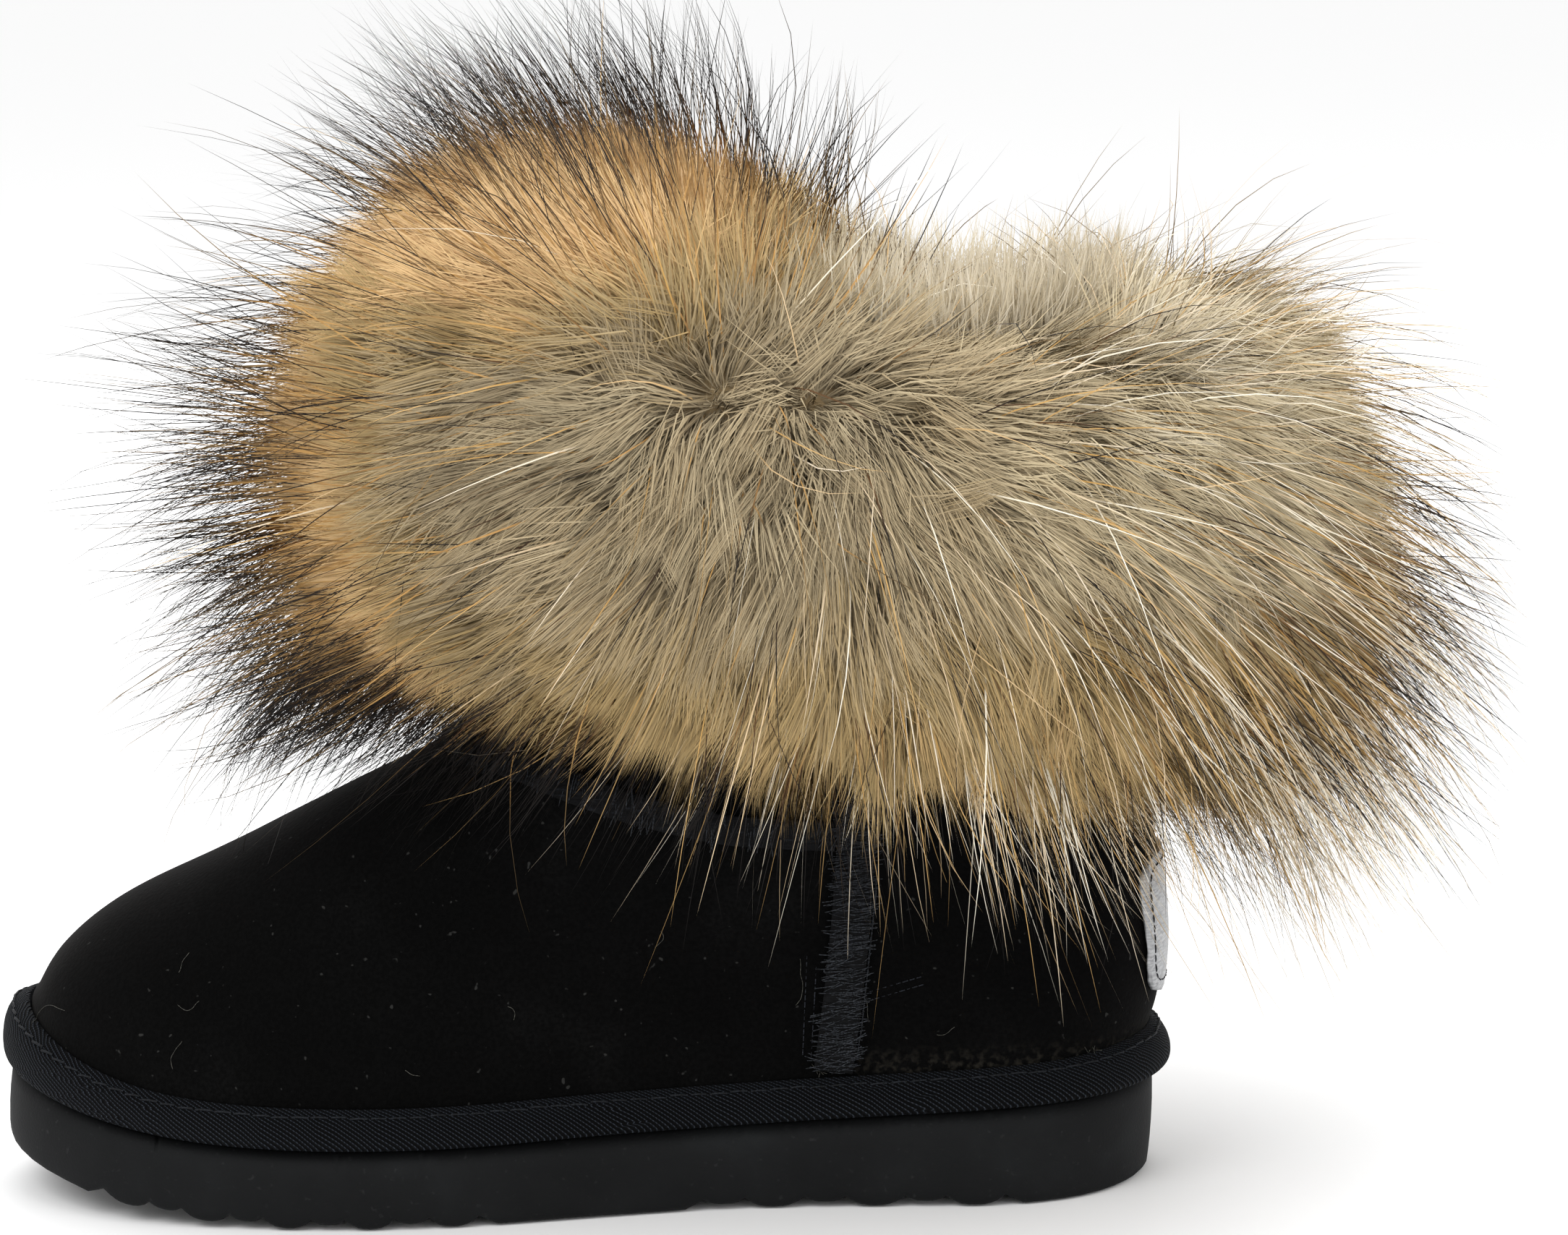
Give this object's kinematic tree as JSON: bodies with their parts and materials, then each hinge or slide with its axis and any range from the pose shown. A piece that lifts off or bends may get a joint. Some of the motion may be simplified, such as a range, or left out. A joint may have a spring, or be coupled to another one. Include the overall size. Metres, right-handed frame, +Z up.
{
  "type": "mukluk boot",
  "caption": "Suede ankle boot with a thick foam sole, taped sole edge, raised side seams and a deep shaggy fur cuff turned down over the collar.",
  "frame": {"origin": "on the floor, under the middle of a flat broad lug of the heel", "axes": "+X from the toe to the heel, so the toe points along -X; +Y to the inner side of the foot; +Z up"},
  "size_m": [0.3466, 0.2036, 0.2765],
  "materials": {
    "foam": "matte closed-cell foam",
    "twill tape": "woven twill, slight sheen",
    "suede": "short nap, matte",
    "overcast thread": "thread, slight sheen",
    "insole fleece": "short pile",
    "heel patch": "satin",
    "fur": "long soft hair"
  },
  "bodies": {
    "root": {"outsole": "foam", "insole": "insole fleece", "binding": "twill tape", "upper": "suede", "side_seam_outer": "overcast thread", "side_seam_inner": "overcast thread", "vamp_seam": "overcast thread", "heel_patch": "heel patch", "fur_cuff": "fur"}
  },
  "joints": []
}
